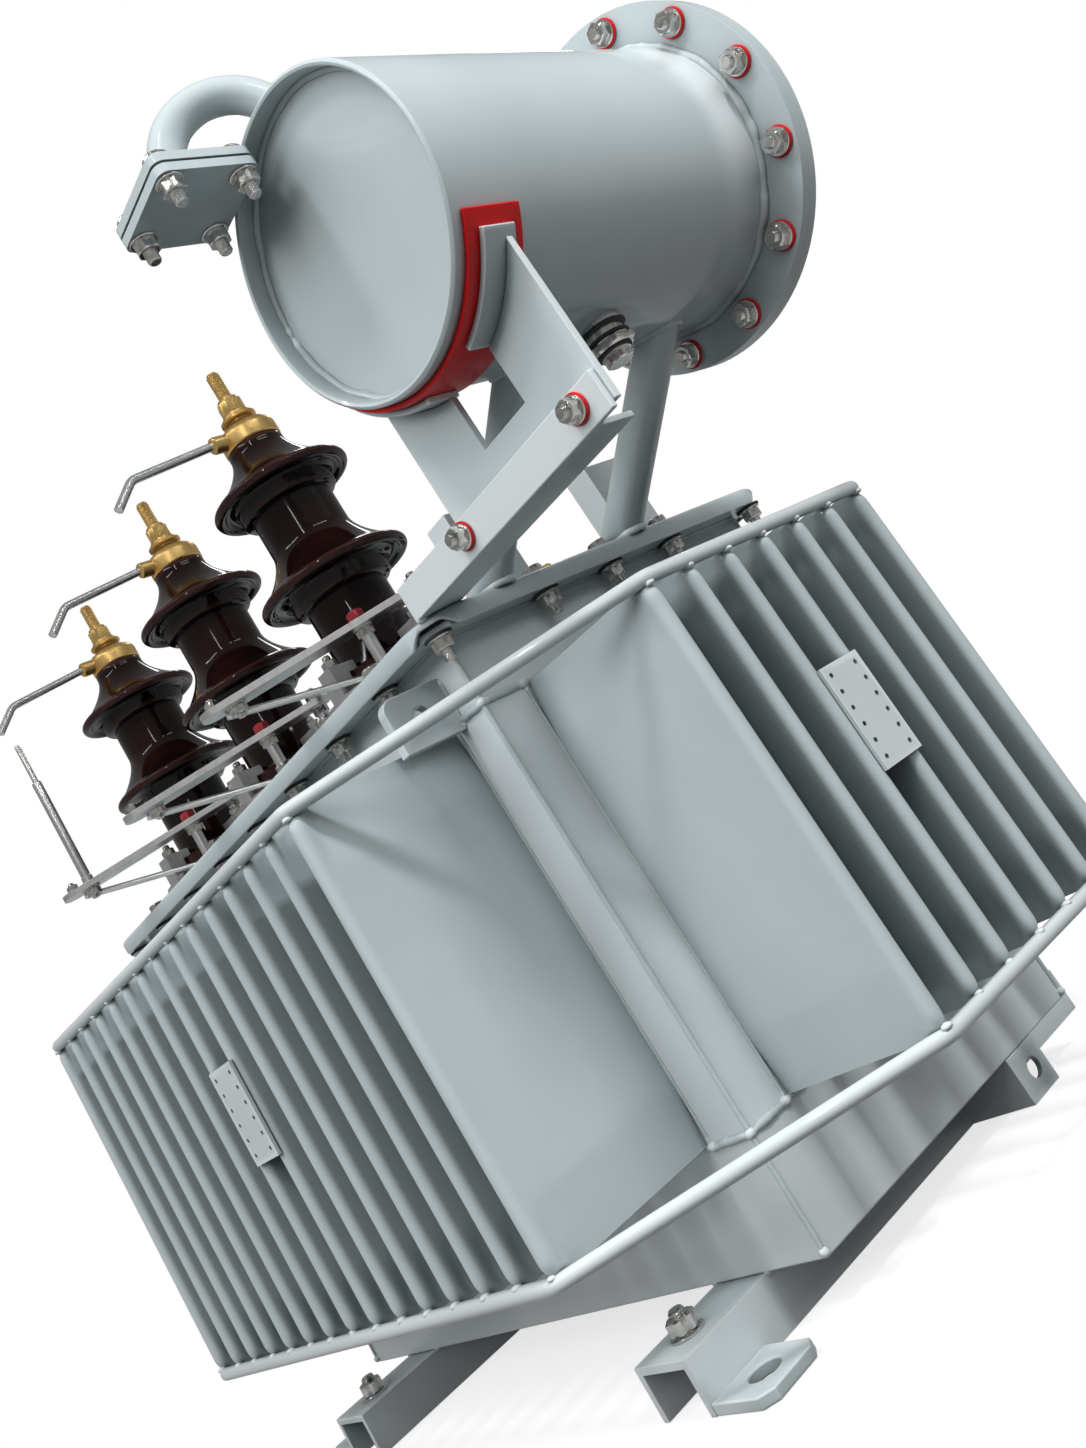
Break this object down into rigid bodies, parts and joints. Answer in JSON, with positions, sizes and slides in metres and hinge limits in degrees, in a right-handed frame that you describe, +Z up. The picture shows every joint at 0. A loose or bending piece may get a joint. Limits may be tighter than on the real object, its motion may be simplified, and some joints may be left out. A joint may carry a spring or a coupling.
{
  "type": "step-down transformer",
  "caption": "Oil-filled step-down transformer with corrugated tank, bolted lid, dark porcelain high-voltage bushings with arcing horns and a side-mounted cylindrical oil conservator.",
  "frame": {"origin": "middle of the four foot bolt holes, level with the tops of the base channels, 40 mm over the floor", "axes": "+Z up, +X along the tank towards the conservator, -Y towards the high-voltage bushings"},
  "size_m": [1.2484, 0.7108, 0.9415],
  "materials": {
    "paint": "gloss",
    "porcelain": "glazed",
    "brass": "satin",
    "steel": "zinc",
    "red_pad": "satin",
    "gasket": "matt"
  },
  "bodies": {
    "root": {"base_channel_left": "paint", "base_channel_right": "paint", "foot_lugs": "paint", "earth_bracket": "paint", "tank_body": "paint", "front_fins": "paint", "rear_fins": "paint", "left_fins": "paint", "right_fins": "paint", "lower_rail": "paint", "upper_rail": "paint", "lifting_lugs": "paint", "tank_flange": "paint", "lid_gasket": "gasket", "lid": "paint", "hv_bushing_left": "porcelain", "hv_bushing_middle": "porcelain", "hv_bushing_right": "porcelain", "hv_cap_left": "brass", "hv_cap_middle": "brass", "hv_cap_right": "brass", "hv_horns": "steel", "hv_clamps": "steel", "hv_bars": "steel", "lower_horn": "steel", "lv_bushings": "porcelain", "lv_terminals": "brass", "conservator_shell": "paint", "conservator_end": "paint", "conservator_flange": "paint", "conservator_cover": "paint", "breather_pipe": "paint", "breather_flanges": "paint", "support_arm": "paint", "saddle_plate": "paint", "saddle_straps": "paint", "saddle_pad": "red_pad", "oil_pipe": "paint", "strut_pipe": "paint", "drain_union": "steel", "lid_posts": "paint", "front_plate": "paint", "right_plate": "paint"}
  },
  "joints": []
}
